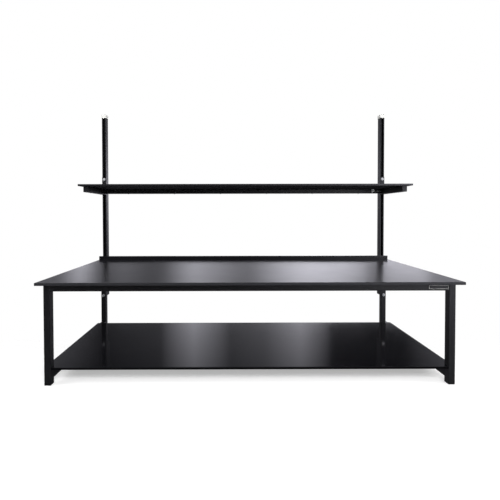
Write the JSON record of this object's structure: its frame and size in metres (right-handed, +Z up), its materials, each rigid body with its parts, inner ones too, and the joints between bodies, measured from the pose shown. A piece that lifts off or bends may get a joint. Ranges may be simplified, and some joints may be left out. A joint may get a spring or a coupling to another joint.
{
  "type": "lab bench with reagent shelf",
  "caption": "Long free-standing laboratory bench with a black tube frame, laminate worktop, backstop and lower deck, and a full-length reagent shelf that slides on slotted uprights.",
  "frame": {"origin": "on the floor under the middle of the whole bench: midway along its length, and midway between the worktop's front edge and the backs of the upright caps", "axes": "+X along the bench to the right of a person who stands in front of it, +Y from front to back, +Z up"},
  "size_m": [3.6576, 1.6096, 2.7472],
  "materials": {
    "black_laminate": "black laminate on board, satin",
    "black_powder_coat": "black powder coat, semi-gloss",
    "zinc_plate": "bright zinc plate",
    "white_plastic": "moulded, satin",
    "black_plastic": "moulded, satin"
  },
  "bodies": {
    "bench": {"worktop": "black_laminate", "backstop": "black_laminate", "lower_deck": "black_laminate", "front_left_leg": "black_powder_coat", "front_right_leg": "black_powder_coat", "rear_left_leg": "black_powder_coat", "rear_right_leg": "black_powder_coat", "front_apron": "black_powder_coat", "rear_apron": "black_powder_coat", "left_top_rail": "black_powder_coat", "right_top_rail": "black_powder_coat", "left_cross_support": "black_powder_coat", "middle_cross_support": "black_powder_coat", "right_cross_support": "black_powder_coat", "left_lower_rail": "black_powder_coat", "right_lower_rail": "black_powder_coat", "front_deck_stringer": "black_powder_coat", "middle_deck_stringer": "black_powder_coat", "rear_deck_stringer": "black_powder_coat", "left_upright": "black_powder_coat", "right_upright": "black_powder_coat", "left_upright_cap": "white_plastic", "right_upright_cap": "white_plastic", "left_lower_leg_bolt": "zinc_plate", "left_upper_leg_bolt": "zinc_plate", "right_lower_leg_bolt": "zinc_plate", "right_upper_leg_bolt": "zinc_plate", "left_lower_leg_nut": "zinc_plate", "left_upper_leg_nut": "zinc_plate", "right_lower_leg_nut": "zinc_plate", "right_upper_leg_nut": "zinc_plate", "front_left_foot_insert": "black_plastic", "front_right_foot_insert": "black_plastic", "rear_left_foot_insert": "black_plastic", "rear_right_foot_insert": "black_plastic", "blank_nameplate": "black_plastic"},
    "shelf": {"shelf_panel": "black_laminate", "shelf_rear_beam": "black_powder_coat", "left_shelf_arm": "black_powder_coat", "right_shelf_arm": "black_powder_coat", "left_arm_plate": "black_powder_coat", "right_arm_plate": "black_powder_coat", "left_beam_cleat": "black_powder_coat", "right_beam_cleat": "black_powder_coat", "left_lower_shelf_bolt": "zinc_plate", "left_upper_shelf_bolt": "zinc_plate", "right_lower_shelf_bolt": "zinc_plate", "right_upper_shelf_bolt": "zinc_plate", "left_lower_shelf_nut": "zinc_plate", "left_upper_shelf_nut": "zinc_plate", "right_lower_shelf_nut": "zinc_plate", "right_upper_shelf_nut": "zinc_plate"},
    "front_left_foot": {"front_left_levelling_foot": "zinc_plate"},
    "front_right_foot": {"front_right_levelling_foot": "zinc_plate"},
    "rear_left_foot": {"rear_left_levelling_foot": "zinc_plate"},
    "rear_right_foot": {"rear_right_levelling_foot": "zinc_plate"}
  },
  "joints": [
    {"name": "shelf_height", "type": "slide", "parent": "bench", "child": "shelf", "axis": [0, 0, 1], "range_m": [-0.75, 0.72]},
    {"name": "front_left_foot_screw", "type": "slide", "parent": "bench", "child": "front_left_foot", "axis": [0, 0, -1], "range_m": [0, 0.025]},
    {"name": "front_right_foot_screw", "type": "slide", "parent": "bench", "child": "front_right_foot", "axis": [0, 0, -1], "range_m": [0, 0.025]},
    {"name": "rear_left_foot_screw", "type": "slide", "parent": "bench", "child": "rear_left_foot", "axis": [0, 0, -1], "range_m": [0, 0.025]},
    {"name": "rear_right_foot_screw", "type": "slide", "parent": "bench", "child": "rear_right_foot", "axis": [0, 0, -1], "range_m": [0, 0.025]}
  ]
}
